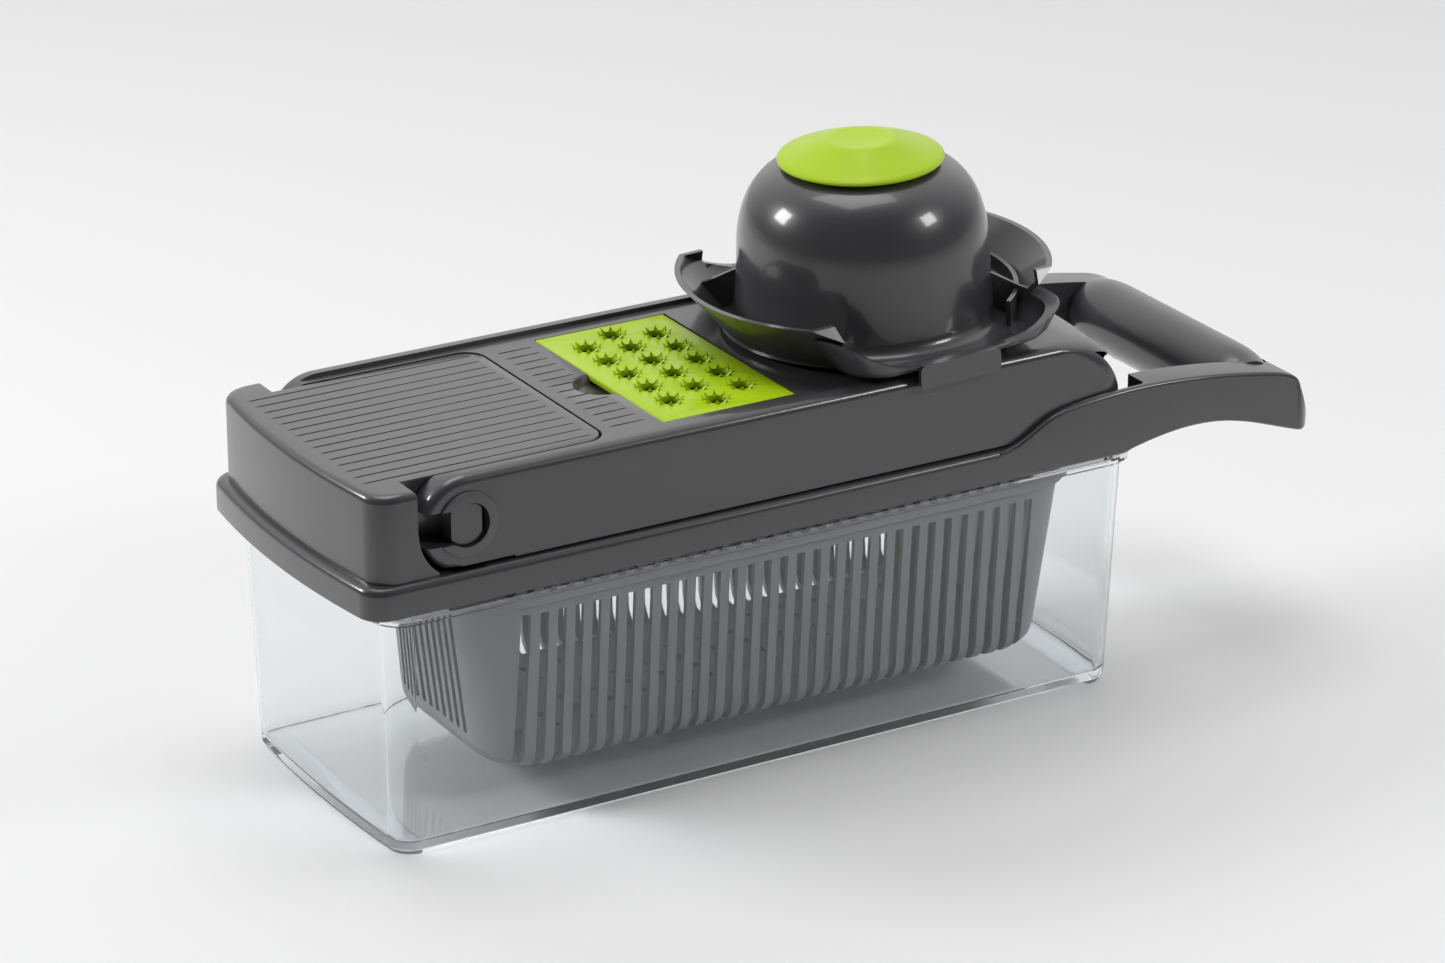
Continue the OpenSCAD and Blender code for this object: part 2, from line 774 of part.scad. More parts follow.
module prong_plate() {
    color(GREY) guard_frame() difference() {
        translate([0, 0, 13]) cylinder(r = 33.6, h = 6, $fn = 96);
        difference() {
            translate([0, 0, 15.6]) cylinder(r = 31.6, h = 8, $fn = 96);
            translate([0, 0, 10]) cylinder(r = 11, h = 20, $fn = 48);
        }
        translate([0, 0, 15.6]) cylinder(r = 9.2, h = 8, $fn = 48);
        prong_places() translate([0, 0, 5]) cylinder(r = 0.9, h = 20, $fn = 24);
        translate([0, 0, 5]) cylinder(r = 1.7, h = 20, $fn = 32);
        translate([0, 0, 12.9]) cylinder(r = 3.4, h = 1.3, $fn = 32);
    }
}

module prong_pins() {
    color(STEEL) guard_frame() prong_places() {
        translate([0, 0, 9.4]) cylinder(r = 0.9, h = 6.2, $fn = 24);
        translate([0, 0, 7]) cylinder(r1 = 0.15, r2 = 0.9, h = 2.4, $fn = 24);
    }
}

module pusher_knob() {
    color(GREEN) guard_frame() rotate_extrude($fn = 96)
        polygon([[0, 57.2], [cap_r - 2, 57.2], [cap_r, 57.8], [cap_r, 58.6], [cap_r - 1, 59.4],
                 [15, 63.6], [11.8, 64.9], [9, 65], [7.5, 64.6], [0, 64.4]]);
}

module plunger_screw() {
    color(STEEL) guard_frame() translate([0, 0, 12.2]) screw(12);
}

container();
foot_strip_left();
foot_strip_right();
drain_basket();
base_frame();
grip_cover();
grip_screws();
dicing_frame();
dicing_clamp_ring();
dicing_blades_long();
dicing_blades_cross();
press_lid();
pusher_pad();
grater_insert();
hand_guard();
pusher_knob();
pusher_stem();
prong_plate();
prong_pins();
plunger_screw();
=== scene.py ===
# Looks of the mandoline slicer: smooth mouldings, clear bin, green fittings, studio floor and lamps.
import bpy
import math
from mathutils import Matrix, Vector


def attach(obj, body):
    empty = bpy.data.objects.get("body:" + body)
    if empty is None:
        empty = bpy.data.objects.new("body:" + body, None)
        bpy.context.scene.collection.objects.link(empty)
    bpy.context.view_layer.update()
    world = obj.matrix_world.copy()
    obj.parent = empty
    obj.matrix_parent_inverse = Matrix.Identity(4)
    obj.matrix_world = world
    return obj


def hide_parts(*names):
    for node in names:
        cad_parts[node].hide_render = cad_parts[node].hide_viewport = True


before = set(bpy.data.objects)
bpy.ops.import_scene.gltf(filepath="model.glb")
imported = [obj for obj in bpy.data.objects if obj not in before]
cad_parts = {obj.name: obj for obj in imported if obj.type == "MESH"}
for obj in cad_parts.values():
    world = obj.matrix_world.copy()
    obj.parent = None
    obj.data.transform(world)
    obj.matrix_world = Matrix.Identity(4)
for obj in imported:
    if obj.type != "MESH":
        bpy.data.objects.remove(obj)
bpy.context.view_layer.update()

MM = 0.001
MID_X = -32.5                     # the bin's middle, in mm from the middle of the whole length

# places in mm from the bin's middle
FLANGE_X = -2.5                   # middle of the head's flange
BASKET_X = 11.5                   # middle of the basket
PIVOT_X, PIVOT_Z = -115, 115      # axis of the lid's hinge
DECK_Z = 130                      # top of the ramp and of the grater insert
LID_FOOT, LID_TOP = 100.4, 131.5
NOTCH_X, NOTCH_Y = -34.9, -3      # finger notch beside the insert
GUARD_X, GUARD_Z = 21.7, 131.7    # foot of the guard's lobe at the hinge end
GUARD_R = 49                      # radius of the guard's lobes at their foot
TILT = math.radians(2.2)          # slope of the guard on the lid

MERGE = 0.000004                  # corners closer than this, in metres, become one
FINE_MERGE = 0.00002              # the same for a finished form
FLAT = math.radians(0.4)          # faces that meet flatter than this become one
SMOOTH = math.radians(32)         # edges sharper than this keep their crease


# ---- places and outlines, in millimetres from the bin's middle ----

def spot(x, y, z):
    return Vector(((x + MID_X) * MM, y * MM, z * MM))


def guard_spot(x, y, h):
    """A point of the tilted hand guard: x and y from its dome's axis, h above its foot."""
    along = x + GUARD_R
    return spot(GUARD_X + along * math.cos(TILT) - h * math.sin(TILT), y,
                GUARD_Z + along * math.sin(TILT) + h * math.cos(TILT))


def pivot_spot(x, z, h):
    """A point by the hinge: x and z from its axis, h across the slicer."""
    return spot(PIVOT_X + x, h, PIVOT_Z + z)


def arc(cx, cy, r, a0, a1, n):
    """Points of an arc from angle a0 to a1, in degrees."""
    return [(cx + r * math.cos(math.radians(a0 + (a1 - a0) * i / n)),
             cy + r * math.sin(math.radians(a0 + (a1 - a0) * i / n))) for i in range(n + 1)]


def curve(a, b, c, d, n):
    """Points of a cubic curve from a to d with handles b and c."""
    out = []
    for i in range(n + 1):
        t = i / n
        s = 1 - t
        k = (s ** 3, 3 * s * s * t, 3 * s * t * t, t ** 3)
        out.append(tuple(k[0] * a[j] + k[1] * b[j] + k[2] * c[j] + k[3] * d[j] for j in (0, 1)))
    return out


def bowed_end(half_l, half_w, bow, r, corner=10, bend=12):
    """The handle-end outline of a bowed plan, from its near side round to its far side."""
    big = (half_w ** 2 + bow ** 2) / (2 * bow)
    edge = math.degrees(math.asin((half_w - r) / (big - r)))
    cx = half_l - big + (big - r) * math.cos(math.radians(edge))
    return (arc(cx, r - half_w, r, 270, 360 - edge, corner)
            + arc(half_l - big, 0, big, -edge, edge, bend)[1:-1]
            + arc(cx, half_w - r, r, edge, 90, corner))


def bowed(half_l, half_w, bow, r):
    """Rectangle with rounded corners and outward-bowed ends, always with the same count of points."""
    end = bowed_end(half_l, half_w, bow, r)
    return end + [(-x, -y) for x, y in end]


def rounded(half_l, half_w, r, corner):
    """Rectangle with rounded corners."""
    out = []
    for sx, sy, a in ((1, 1, 0), (-1, 1, 90), (-1, -1, 180), (1, -1, 270)):
        out += arc(sx * (half_l - r), sy * (half_w - r), r, a, a + 90, corner)
    return out


def tongue(x0, x1, half, r, n):
    """Plan that is square at x0 and has rounded corners at x1."""
    return ([(x0, -half)] + arc(x1 - r, r - half, r, -90, 0, n)
            + arc(x1 - r, half - r, r, 0, 90, n) + [(x0, half)])


def level(points, z, dx=0):
    """Ring from a plan (x, y) at one height."""
    return [spot(x + dx, y, z) for x, y in points]


def upright(points, y):
    """Ring from a side view (x, z) at one y."""
    return [spot(x, y, z) for x, z in points]


def circle(r, n):
    return [(r * math.cos(2 * math.pi * i / n), r * math.sin(2 * math.pi * i / n)) for i in range(n)]


def read_off(table, at):
    """The value at one place of a table of (place, value) rows, or that of the nearest row outside it."""
    for (a0, v0), (a1, v1) in zip(table, table[1:]):
        if min(a0, a1) <= at <= max(a0, a1):
            return v0 + (v1 - v0) * (at - a0) / (a1 - a0)
    return min(table, key=lambda row: abs(row[0] - at))[1]


# ---- modelling ----

def deselect():
    bpy.ops.object.select_all(action="DESELECT")


def pick(piece):
    deselect()
    piece.select_set(True)
    bpy.context.view_layer.objects.active = piece


def first_ring(name, points, fill):
    """Starts a piece with one ring of points, filled or open."""
    deselect()
    bpy.ops.mesh.primitive_circle_add(vertices=len(points), radius=1, fill_type=fill)
    piece = bpy.context.object
    piece.name = piece.data.name = name
    for corner, point in zip(piece.data.vertices, points):
        corner.co = point
    return piece


def extrude_to(mesh, points):
    """Extrudes the selected ring and moves its new corners to the points."""
    bpy.ops.object.mode_set(mode="EDIT")
    bpy.ops.mesh.extrude_region_move()
    bpy.ops.object.mode_set(mode="OBJECT")
    moved = [v for v in mesh.vertices if v.select]
    for corner, point in zip(moved, points):
        corner.co = point


def loft(name, rings):
    """A closed form through rings of points: a filled circle is extruded ring by ring."""
    piece = first_ring(name, rings[0], "NGON")
    for ring in rings[1:]:
        extrude_to(piece.data, ring)
    bpy.ops.object.mode_set(mode="EDIT")
    bpy.ops.mesh.select_all(action="SELECT")
    bpy.ops.mesh.normals_make_consistent(inside=False)
    bpy.ops.object.mode_set(mode="OBJECT")
    return piece


def hoop(name, rings):
    """A closed hoop: the outline of one section is extruded round and joined to itself."""
    piece = first_ring(name, rings[0], "NOTHING")
    for ring in rings[1:] + rings[:1]:
        extrude_to(piece.data, ring)
    bpy.ops.object.mode_set(mode="EDIT")
    bpy.ops.mesh.select_all(action="SELECT")
    bpy.ops.mesh.remove_doubles(threshold=MERGE)
    bpy.ops.mesh.normals_make_consistent(inside=False)
    bpy.ops.object.mode_set(mode="OBJECT")
    return piece


def turned(name, profile, place=spot, cx=0, cy=0, n=96):
    """A turned form: circles of the profile's radii at its heights."""
    return loft(name, [[place(cx + x, cy + y, h) for x, y in circle(r, n)] for r, h in profile])


def box(name, lo, hi):
    """A block between two corners."""
    x0, y0, z0 = lo
    x1, y1, z1 = hi
    plan = [(x0, y0), (x1, y0), (x1, y1), (x0, y1)]
    return loft(name, [level(plan, z0), level(plan, z1)])


def copies(piece, places):
    """Copies of the piece, each with its own mesh, moved along by each x and y. The piece itself goes."""
    out = []
    for x, y in places:
        again = piece.copy()
        again.data = piece.data.copy()
        bpy.context.collection.objects.link(again)
        offset = Vector((x * MM, y * MM, 0))
        for corner in again.data.vertices:
            corner.co += offset
        out.append(again)
    bpy.data.objects.remove(piece)
    return out


def finish_modifiers(piece):
    pick(piece)
    for m in list(piece.modifiers):
        bpy.ops.object.modifier_apply(modifier=m.name)


def combine(piece, other, how="DIFFERENCE"):
    """Cuts, joins or intersects a piece with another, which is used up."""
    m = piece.modifiers.new("combine", "BOOLEAN")
    m.operation = how
    m.solver = "EXACT"
    m.object = other
    finish_modifiers(piece)
    bpy.data.objects.remove(other)
    bpy.ops.object.mode_set(mode="EDIT")
    bpy.ops.mesh.select_all(action="SELECT")
    bpy.ops.mesh.remove_doubles(threshold=MERGE)
    bpy.ops.mesh.dissolve_degenerate(threshold=MERGE)
    bpy.ops.object.mode_set(mode="OBJECT")
    return piece


def together(pieces):
    """Joins loose pieces into one mesh."""
    deselect()
    for p in pieces:
        p.select_set(True)
    bpy.context.view_layer.objects.active = pieces[0]
    bpy.ops.object.join()
    return pieces[0]


def soften(piece, width=0, segments=2, angle=40):
    """Smooths the shading, and rounds edges sharper than the angle where a width is given."""
    pick(piece)
    bpy.ops.object.mode_set(mode="EDIT")
    bpy.ops.mesh.select_all(action="SELECT")
    bpy.ops.mesh.remove_doubles(threshold=FINE_MERGE)
    bpy.ops.mesh.dissolve_limited(angle_limit=FLAT)
    bpy.ops.object.mode_set(mode="OBJECT")
    if width:
        m = piece.modifiers.new("edges", "BEVEL")
        m.width = width * MM
        m.segments = segments
        m.limit_method = "ANGLE"
        m.angle_limit = math.radians(angle)
        m.use_clamp_overlap = False
        m.miter_outer = "MITER_ARC"
        finish_modifiers(piece)
    pick(piece)
    bpy.ops.object.shade_smooth_by_angle(angle=SMOOTH)
    return piece


# ---- finishes ----

COLOUR_A, COLOUR_B, COLOUR_OUT = 6, 7, 2    # sockets of a Mix node that mixes colours
SHADER_A, SHADER_B = 1, 2                   # sockets of a Mix Shader node
CAUGHT = 4.5                                # a ray with more turns than this leaves a clear wall unbent


def larger(tree, a, b):
    """The larger of two masks."""
    node = tree.nodes.new("ShaderNodeMath")
    node.operation = "MAXIMUM"
    tree.links.new(a, node.inputs[0])
    tree.links.new(b, node.inputs[1])
    return node.outputs["Value"]


def surface_by_mask(tree, output, mask, usual, masked):
    """Gives an output one shader, and another where the mask is 1."""
    mix = tree.nodes.new("ShaderNodeMixShader")
    tree.links.new(mask, mix.inputs["Fac"])
    tree.links.new(usual, mix.inputs[SHADER_A])
    tree.links.new(masked, mix.inputs[SHADER_B])
    tree.links.new(mix.outputs["Shader"], tree.nodes[output].inputs["Surface"])


def new_group(name, inputs, outputs):
    group = bpy.data.node_groups.new(name, "ShaderNodeTree")
    for label, kind, value in inputs:
        s = group.interface.new_socket(label, in_out="INPUT", socket_type=kind)
        s.default_value = value
    for label, kind in outputs:
        group.interface.new_socket(label, in_out="OUTPUT", socket_type=kind)
    return group, group.nodes.new("NodeGroupInput"), group.nodes.new("NodeGroupOutput")


def moulded_group():
    """Moulded plastic: slow cloudiness in colour and gloss, a faint orange-peel and fine dust specks."""
    group, inp, out = new_group("moulded_surface", [
        ("Color", "NodeSocketColor", (0.1, 0.1, 0.1, 1)),
        ("Cloud", "NodeSocketFloat", 0.06),
        ("Dust", "NodeSocketFloat", 0.3),
        ("Roughness", "NodeSocketFloat", 0.25),
        ("Roughness Spread", "NodeSocketFloat", 0.08),
        ("Ripple", "NodeSocketFloat", 0.02),
        ("Grain", "NodeSocketFloat", 0.0),
    ], [("Color", "NodeSocketColor"), ("Roughness", "NodeSocketFloat"), ("Normal", "NodeSocketVector")])
    nodes, links = group.nodes, group.links
    place = nodes.new("ShaderNodeTexCoord")

    def noise(scale, detail):
        """Noise of so many cells to the metre."""
        n = nodes.new("ShaderNodeTexNoise")
        n.inputs["Scale"].default_value = scale
        n.inputs["Detail"].default_value = detail
        links.new(place.outputs["Object"], n.inputs["Vector"])
        return n.outputs["Fac"]

    def maths(op, *values):
        n = nodes.new("ShaderNodeMath")
        n.operation = op
        for socket, v in zip(n.inputs, values):
            if isinstance(v, (int, float)):
                socket.default_value = v
            else:
                links.new(v, socket)
        return n.outputs["Value"]

    cloud = maths("SUBTRACT", noise(14, 3), 0.5)
    value = maths("MULTIPLY_ADD", cloud, inp.outputs["Cloud"], 1.0)
    tone = nodes.new("ShaderNodeHueSaturation")
    links.new(value, tone.inputs["Value"])
    links.new(inp.outputs["Color"], tone.inputs["Color"])
    # dust: a small speck in some of the cells of a coarse pattern
    cells = nodes.new("ShaderNodeTexVoronoi")
    cells.inputs["Scale"].default_value = 130
    links.new(place.outputs["Object"], cells.inputs["Vector"])
    parts = nodes.new("ShaderNodeSeparateColor")
    links.new(cells.outputs["Color"], parts.inputs["Color"])
    near = maths("LESS_THAN", cells.outputs["Distance"], 0.03)
    chosen = maths("GREATER_THAN", parts.outputs["Red"], 0.8)
    speck = maths("MULTIPLY", maths("MULTIPLY", near, chosen), inp.outputs["Dust"])
    dusty = nodes.new("ShaderNodeMix")
    dusty.data_type = "RGBA"
    dusty.inputs[COLOUR_B].default_value = (0.62, 0.6, 0.57, 1)
    links.new(speck, dusty.inputs[0])
    links.new(tone.outputs["Color"], dusty.inputs[COLOUR_A])
    links.new(dusty.outputs[COLOUR_OUT], out.inputs["Color"])
    patches = maths("SUBTRACT", noise(60, 4), 0.5)
    gloss = maths("MULTIPLY_ADD", patches, inp.outputs["Roughness Spread"], inp.outputs["Roughness"])
    links.new(gloss, out.inputs["Roughness"])
    ripple = nodes.new("ShaderNodeBump")
    ripple.inputs["Distance"].default_value = 0.002
    links.new(inp.outputs["Ripple"], ripple.inputs["Strength"])
    links.new(noise(90, 2), ripple.inputs["Height"])
    grain = nodes.new("ShaderNodeBump")
    grain.inputs["Distance"].default_value = 0.0004
    links.new(inp.outputs["Grain"], grain.inputs["Strength"])
    links.new(noise(1600, 2), grain.inputs["Height"])
    links.new(ripple.outputs["Normal"], grain.inputs["Normal"])
    links.new(grain.outputs["Normal"], out.inputs["Normal"])
    return group


MOULDED = moulded_group()


def plastic(name, color, rough, spread=0.06, cloud=0.08, dust=0.3, ripple=0.02, grain=0.0, **shader):
    """A material with the moulded surface. Further names are sockets of its shader."""
    mat = bpy.data.materials.new(name)
    mat.use_nodes = True
    nodes, links = mat.node_tree.nodes, mat.node_tree.links
    bsdf = nodes["Principled BSDF"]
    surface = nodes.new("ShaderNodeGroup")
    surface.node_tree = MOULDED
    for label, value in (("Color", (*color, 1)), ("Cloud", cloud), ("Dust", dust), ("Roughness", rough),
                         ("Roughness Spread", spread), ("Ripple", ripple), ("Grain", grain)):
        surface.inputs[label].default_value = value
    links.new(surface.outputs["Color"], bsdf.inputs["Base Color"])
    links.new(surface.outputs["Roughness"], bsdf.inputs["Roughness"])
    links.new(surface.outputs["Normal"], bsdf.inputs["Normal"])
    for label, value in shader.items():
        bsdf.inputs[label.replace("_", " ")].default_value = value
    return mat


def clear(name, color, rough, **shader):
    """Clear plastic that lets the lamps through to what stands behind it."""
    mat = plastic(name, color, rough, spread=0.01, cloud=0.01, dust=0.0, ripple=0.005,
                  Transmission_Weight=1.0, **shader)
    tree = mat.node_tree
    path = tree.nodes.new("ShaderNodeLightPath")
    through = tree.nodes.new("ShaderNodeBsdfTransparent")
    # a wall has two faces, and each takes its share of the colour
    through.inputs["Color"].default_value = (*[c ** 0.5 for c in color], 1)
    # light that is caught between two faces of a wall is let out after a few turns
    caught = tree.nodes.new("ShaderNodeMath")
    caught.operation = "GREATER_THAN"
    caught.inputs[1].default_value = CAUGHT
    tree.links.new(path.outputs["Ray Depth"], caught.inputs[0])
    passes = larger(tree, path.outputs["Is Shadow Ray"], caught.outputs["Value"])
    surface_by_mask(tree, "Material Output", passes, tree.nodes["Principled BSDF"].outputs["BSDF"],
                    through.outputs["BSDF"])
    return mat


dark_gloss = plastic("dark_gloss", (0.055, 0.052, 0.057), 0.32, Coat_Weight=0.7, Coat_Roughness=0.10)
basket_grey = plastic("basket_grey", (0.165, 0.165, 0.177), 0.42, grain=0.04, dust=0.15)
lime_gloss = plastic("lime_gloss", (0.43, 0.63, 0.008), 0.34, cloud=0.04, dust=0.0,
                     Specular_IOR_Level=0.22, Coat_Weight=0.12, Coat_Roughness=0.08)
steel = plastic("bright_steel", (0.62, 0.62, 0.63), 0.22, spread=0.15, dust=0.0, Metallic=1.0)
clear_plastic = clear("clear_plastic", (0.965, 0.98, 0.985), 0.02, IOR=1.49)
foot_rubber = clear("foot_rubber", (0.80, 0.83, 0.86), 0.12, IOR=1.43)


def ready(piece, body, material, slot, *nodes):
    """Gives a finished piece its material and its body, and hides the nodes it stands for. Its slot is
    not used.
    """
    piece.data.materials.clear()
    piece.data.materials.append(material)
    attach(piece, body)
    if nodes:
        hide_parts(*nodes)
    return piece


# ---- clear bin and its feet ----

INNER_L, INNER_Z = 143.55, 3.2    # half length and height at the foot of the bin's inner wall
INNER_CORNER = 9                  # corner radius of that wall
WALL_LEAN = 0.0314                # how much the walls lean out as they rise


def bin_corner(half_l, z):
    """Corner radius on one centre with the inner wall's, so the wall is as thick there as elsewhere."""
    return INNER_CORNER + half_l - INNER_L - (z - INNER_Z) * WALL_LEAN


def make_bin():
    rings = [(138.4, 49.4, 4.0), (140.2, 51.2, 4.2), (141.2, 52.2, 4.9), (141.6, 52.6, 6.4),
             (144.2, 55.2, 86.4), (144.5, 55.5, 87.0), (148.3, 59.3, 87.0), (148.8, 59.8, 86.5),
             (148.8, 59.8, 85.3), (148.4, 59.4, 84.8), (146.5, 57.5, 84.8), (146.1, 57.1, 84.3),
             (143.55, 54.55, 3.2), (143.4, 54.4, 2.3), (142.9, 53.9, 1.75), (142.2, 53.2, 1.6)]
    piece = soften(loft("bin_clear", [level(bowed(l, w, 2.5, bin_corner(l, z)), z) for l, w, z in rings]))
    # the walls are flat, so what is seen through them isn't bent by the shading
    flat = piece.modifiers.new("flat_walls", "WEIGHTED_NORMAL")
    flat.keep_sharp = True
    flat.weight = 100
    finish_modifiers(piece)
    return piece


def make_foot(name, side):
    """A strip under one end of the bin, with a curved inner edge."""
    outer = [(x, y) for x, y in bowed(142.2, 53.2, 2.5, 8) if x > 128]
    inner = [(129.4 + 1.6 * math.cos(math.radians(a)), 49.6 * math.sin(math.radians(a)))
             for a in range(80, -81, -10)]
    plan = [(side * x, y) for x, y in outer + inner]
    piece = loft(name, [level(plan, 0), level(plan, 1.57)])
    return soften(piece, 0.4, 2, 50)


ready(make_bin(), "bin", clear_plastic, "clear_plastic", "container")
ready(make_foot("foot_left", -1), "bin", foot_rubber, "clear_rubber", "foot_strip_left")
ready(make_foot("foot_right", 1), "bin", foot_rubber, "clear_rubber", "foot_strip_right")


# ---- drain basket ----

def make_basket():
    rings = [(103.2, 37.2, 14.2, 17.0), (106.6, 40.6, 17.2, 18.0), (109.2, 43.2, 19.2, 22.5),
             (116.7, 48.2, 20.2, 87.7), (117.2, 48.7, 20.7, 88.3), (119.6, 51.1, 23.1, 88.3),
             (120.3, 51.8, 23.8, 87.6), (120.3, 51.8, 23.8, 78.9), (119.7, 51.2, 23.2, 78.1),
             (117.5, 49.3, 21.9, 77.6), (111.0, 45.0, 21.0, 22.0), (110.2, 44.2, 20.4, 19.0),
             (108.4, 42.4, 19.0, 16.7), (106.8, 40.8, 17.6, 15.5), (105.0, 39.0, 16.0, 15.0)]
    shell = loft("basket", [level(rounded(l, w, r, 12), z, BASKET_X) for l, w, r, z in rings])
    # a row of 31 slots in each side, 10 slots in each end, and 16 by 7 holes in the floor
    middle, span = 8.6, 197
    side = [(middle + (i - 15) * span / 30, y) for i in range(31) for y in (0, -96)]
    ends = [(x, s * (j * 4.9 - 2.45)) for j in range(1, 6) for s in (-1, 1) for x in (-122, 108)]
    floor = [(middle + (i - 7.5) * span / 15, j * 9) for i in range(16) for j in range(-3, 4)]
    cutters = copies(box("slot", (-1.6, 38, 10), (1.6, 58, 74.5)), side)
    cutters += copies(box("end_slot", (-10, -1.25, 24), (30, 1.25, 74.5)), ends)
    cutters += copies(box("floor_hole", (-1.7, -1.7, 10), (1.7, 1.7, 20)), floor)
    combine(shell, together(cutters))
    # straight lip that hangs on the bin's rim, round the shell's opening
    lip = loft("lip", [level(rounded(107.5 - i, 58 - i, 6, 12), z, BASKET_X)
                       for i, z in ((0.3, 87.12), (0, 87.4), (0, 88.0), (0.3, 88.28))])
    combine(lip, loft("hole", [level(rounded(119, 50.5, 22, 12), z, BASKET_X) for z in (80, 95)]))
    return soften(together([shell, lip]))


ready(make_basket(), "basket", basket_grey, "grey_plastic", "drain_basket")


# ---- head frame with its ramp, hinge stubs and handle ----

def make_flange():
    rings = [(149.8, 55.8, 97.4, 5.4), (151.5, 57.5, 97.1, 6.5), (151.8, 57.8, 88.7, 6.8),
             (152.1, 58.1, 88.4, 7.1), (153.5, 59.5, 88.4, 8.5), (154, 60, 88.9, 9),
             (154, 60, 96.7, 9), (153.85, 59.85, 97.7, 8.9), (153.4, 59.4, 98.6, 8.6),
             (152.7, 58.7, 99.25, 8.0), (151.8, 57.8, 99.55, 7.2), (150.9, 56.9, 99.6, 6.5)]
    return loft("flange", [level(bowed(l, w, 5, r), z, FLANGE_X) for l, w, z, r in rings])


def end_block():
    """Block at the hinge end: a plan with a softened top, kept to its side view."""
    rings = [(150.5, 57.4, 98.6), (150.5, 57.4, 127.2), (150.3, 57.2, 128.4), (149.7, 56.6, 129.4),
             (148.9, 55.8, 129.9), (148.0, 54.9, 130.0)]
    body = loft("block", [level(bowed(l, w, 5, 9.5), z, FLANGE_X) for l, w, z in rings])
    side = ([(-170, 90), (-125.9, 90), (-125.9, 100.7)]
            + arc(PIVOT_X, PIVOT_Z, 18, 232.5, 180, 12)[1:]
            + [(-133.2, 115.4), (-133.2, 128.6)]
            + arc(-134.6, 128.6, 1.4, 0, 90, 5)
            + [(-135.2, 131), (-170, 131)])
    return combine(body, loft("keep", [upright(side, -62), upright(side, 62)]), "INTERSECT")


def ramp_plan(half, end):
    """Plan of the ramp, or of the gap for it in the lid."""
    return tongue(-140, end, half, 8, 10)


def ramp():
    rings = [(46.5, -57.2, 98.6), (46.5, -57.2, 129.5), (46.35, -57.35, 129.85), (46.0, -57.7, 130.0)]
    return loft("ramp", [level(ramp_plan(h, e), z) for h, e, z in rings])


def groove_bars(rows, x0, x1):
    """Cutters for shallow grooves whose ends run out."""
    course = ((x0, 0.05, 0.02), (x0 + 2.5, 0.5, 0.5), (x1 - 0.6, 0.5, 0.5), (x1, 0.3, 0.3))
    bars = []
    for y in rows:
        rings = []
        for x, half, depth in course:
            section = [(y - half, DECK_Z + 0.5), (y - half * 0.9, DECK_Z + 0.25 - depth),
                       (y, DECK_Z - depth),
                       (y + half * 0.9, DECK_Z + 0.25 - depth), (y + half, DECK_Z + 0.5)]
            rings.append([spot(x, u, z) for u, z in section])
        bars.append(loft("groove", rings))
    return together(bars)


def on_hinge(name, profile, sides=(-1, 1), n=96):
    """The same turned form at both ends of the hinge's axis, in the order of the sides."""
    return together([turned(name, [(r, s * h) for r, h in profile], pivot_spot, n=n) for s in sides])


def arm_side():
    """Side view of the handle: over the arm, round the grip's end and back below."""
    return (curve((88, 99.2), (100, 99.8), (103, 107.5), (116, 109.7), 14)
            + curve((116, 109.7), (140, 113.8), (172, 112.6), (205, 105.7), 20)[1:]
            + curve((205, 105.7), (211, 104), (214.6, 102.8), (215.6, 98), 10)[1:]
            + curve((221.5, 84.6), (221.7, 82.3), (218.6, 80.8), (216, 81.5), 8)
            + curve((216, 81.5), (200, 86.4), (188, 92.8), (170, 92.7), 16)[1:]
            + curve((170, 92.7), (160, 92.7), (151, 91), (140, 88.4), 10)[1:]
            + [(88, 88.4)])


def make_handle():
    """The two arms and the grip between them, with room for the lid."""
    side = arm_side()
    handle = loft("handle", [upright(side, -60), upright(side, 60)])
    plan = tongue(80, 221.5, 60, 8, 10)
    combine(handle, loft("plan", [level(plan, z) for z in (70, 125)]), "INTERSECT")
    soften(handle, 1.3, 4, 34)
    room = tongue(60, 149.2, 57.85, 2, 6)
    combine(handle, loft("lid_room", [level(room, z) for z in (70, 125)]))
    gap = tongue(60, 211, 47.4, 5, 8)
    combine(handle, loft("gap", [level(gap, z) for z in (70, 125)]))
    profile = [(10.4, -49.6), (11.2, -46.5), (12.2, -43), (12.8, -38.5), (13.0, -33), (13.0, 33),
               (12.8, 38.5), (12.2, 43), (11.2, 46.5), (10.4, 49.6)]
    bar = turned("bar", profile, lambda u, v, h: spot(200 + u, h, 97 + v), n=72)
    return combine(handle, bar, "UNION")


def make_head():
    head = combine(make_flange(), end_block(), "UNION")
    combine(head, ramp(), "UNION")
    combine(head, box("middle", (-55, -48, 88.4), (124, 48, 98.2)), "UNION")
    pads = [box("pad", (-124, s * 52 - 6, 95.6), (-106, s * 52 + 5.5, 98.2)) for s in (-1, 1)]
    combine(head, together(pads), "UNION")
    # hollow of the ramp, hinge troughs, chute, dicing window with its seat, and the ramp's grooves
    combine(head, box("hollow", (-148, -44.3, 80), (-61.4, 44.3, 127.6)))
    combine(head, on_hinge("trough", [(17, 46.6), (17, 58)]))
    combine(head, box("chute", (-52, -44, 80), (20, 44, 120)))
    combine(head, box("window", (32, -41, 80), (114, 41, 120)))
    combine(head, box("seat", (26.9, -46.1, 96), (119.1, 46.1, 120)))
    combine(head, groove_bars([(i - 7) * 6 for i in range(15)], -146, -61))
    combine(head, make_handle(), "UNION")
    # hinge stubs with two flats each, over which the lid's rings are clipped
    stubs = on_hinge("stub", [(7.0, 45.5), (7.6, 45.6), (7.6, 55.7), (7.1, 56.1)], (1, -1), 72)
    flats = [box("flat", (PIVOT_X + x0, -70, 100), (PIVOT_X + x1, 70, 130))
             for x0, x1 in ((-20, -5.6), (5.6, 20))]
    combine(stubs, together(flats))
    combine(head, stubs, "UNION")
    combine(head, together([box("rib", (-137.2, -45.5, 84), (-135.2, 45.5, 128.6)),
                            box("lip", (137.5, -44, 84), (139.5, 44, 98))]), "UNION")
    return soften(head)


